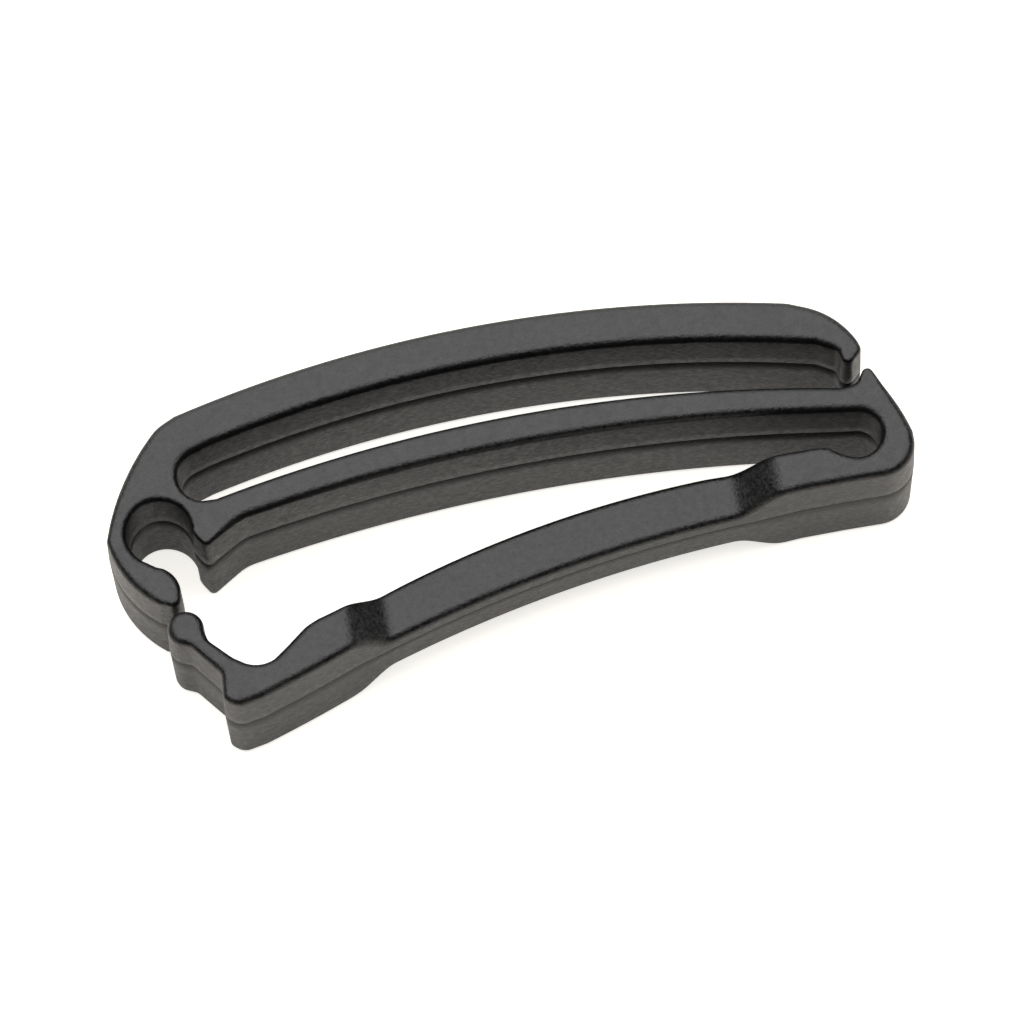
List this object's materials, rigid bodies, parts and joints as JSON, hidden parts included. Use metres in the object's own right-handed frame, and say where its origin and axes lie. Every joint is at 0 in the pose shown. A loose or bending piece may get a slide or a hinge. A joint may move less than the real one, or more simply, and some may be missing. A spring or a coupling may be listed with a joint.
{
  "type": "buckle slider",
  "caption": "Plastic strap slider with curved bars, a side-entry outer slot and a hinged gate whose round head snaps into a socket, shown with the gate open.",
  "frame": {"origin": "middle of the bounding box in plan, at the back face the slider lies on", "axes": "+X along the bars towards the gate's hinge, +Y across the slots towards the outer bar, +Z through the depth towards the front face"},
  "size_m": [0.05, 0.0218, 0.0098],
  "materials": {
    "charcoal_plastic": "fine moulded grain, satin"
  },
  "bodies": {
    "frame": {"left_end_block": "charcoal_plastic", "upper_jaw": "charcoal_plastic", "centre_bar": "charcoal_plastic", "right_end_block": "charcoal_plastic"},
    "outer_bar": {"outer_bar": "charcoal_plastic", "outer_bar_tip": "charcoal_plastic"},
    "latch_jaw": {"latch_jaw": "charcoal_plastic"},
    "gate": {"living_hinge": "charcoal_plastic", "gate_root": "charcoal_plastic", "gate_bar": "charcoal_plastic", "gate_latch_end": "charcoal_plastic", "latch_head": "charcoal_plastic"}
  },
  "joints": [
    {"name": "gate_hinge", "type": "hinge", "parent": "frame", "child": "gate", "pos_m": [0.02396, -0.00057, 0.0049], "axis": [0, 0, 1], "range_deg": [-8.3, 15], "stiffness_Nm_per_rad": 2},
    {"name": "outer_bar_flex", "type": "hinge", "parent": "frame", "child": "outer_bar", "pos_m": [-0.01835, 0.00731, 0.0049], "axis": [0, 0, 1], "range_deg": [0, 2.5], "stiffness_Nm_per_rad": 3.4},
    {"name": "latch_jaw_flex", "type": "hinge", "parent": "frame", "child": "latch_jaw", "pos_m": [-0.02433, 0.00078, 0.0049], "axis": [0, 0, -1], "range_deg": [0, 8], "stiffness_Nm_per_rad": 1.2}
  ]
}
